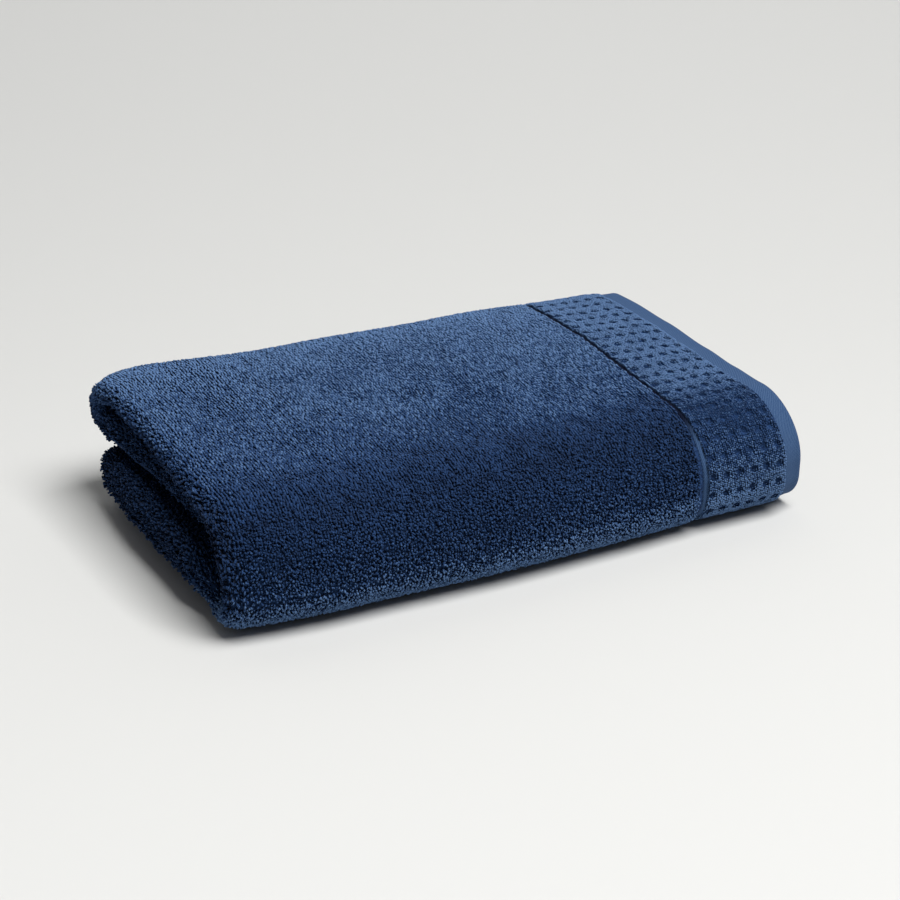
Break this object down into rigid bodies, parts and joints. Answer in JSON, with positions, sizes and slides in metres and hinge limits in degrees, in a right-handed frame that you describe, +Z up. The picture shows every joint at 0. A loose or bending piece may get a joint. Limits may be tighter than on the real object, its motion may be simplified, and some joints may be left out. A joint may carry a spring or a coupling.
{
  "type": "folded bath towel",
  "caption": "Folded terry bath towel: a layered pad wrapped on itself, with a low textured band, a sunk woven line and a flat hem at one end.",
  "frame": {"origin": "centre of the folded towel's box at the height of the surface it rests on", "axes": "+X along the folded length towards the hem end, +Y from the smooth wrapped front to the back, +Z up"},
  "size_m": [0.3794, 0.2434, 0.0851],
  "materials": {
    "cotton_terry": "looped cotton pile, matte"
  },
  "bodies": {
    "root": {"towel": "cotton_terry"}
  },
  "joints": []
}
